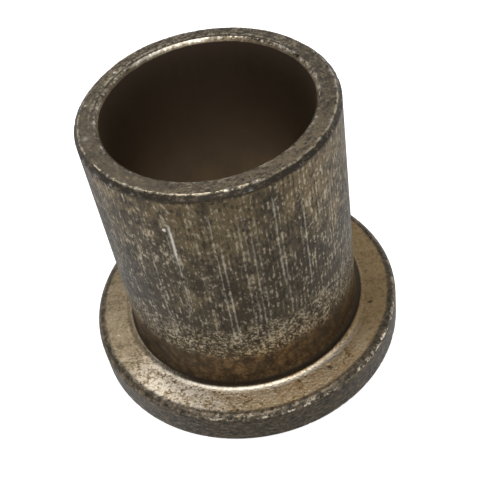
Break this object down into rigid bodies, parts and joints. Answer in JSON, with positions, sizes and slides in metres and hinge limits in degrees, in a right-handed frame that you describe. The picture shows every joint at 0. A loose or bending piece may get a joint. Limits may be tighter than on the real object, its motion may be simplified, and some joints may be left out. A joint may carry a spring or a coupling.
{
  "type": "flanged sleeve bushing",
  "caption": "Plain bearing: a cylindrical sleeve with a through bore and a thick thrust flange at one end, pressed into a housing to guide a turning or sliding shaft.",
  "frame": {"origin": "middle of the flange's thrust face, on the axis of the bore", "axes": "+Z along the axis, from the flange towards the free end of the barrel; X and Y are any two radii, because the part is round"},
  "size_m": [0.0364, 0.0364, 0.0335],
  "materials": {
    "sintered_bronze": "satin"
  },
  "bodies": {
    "root": {"flanged_bushing": "sintered_bronze"}
  },
  "joints": []
}
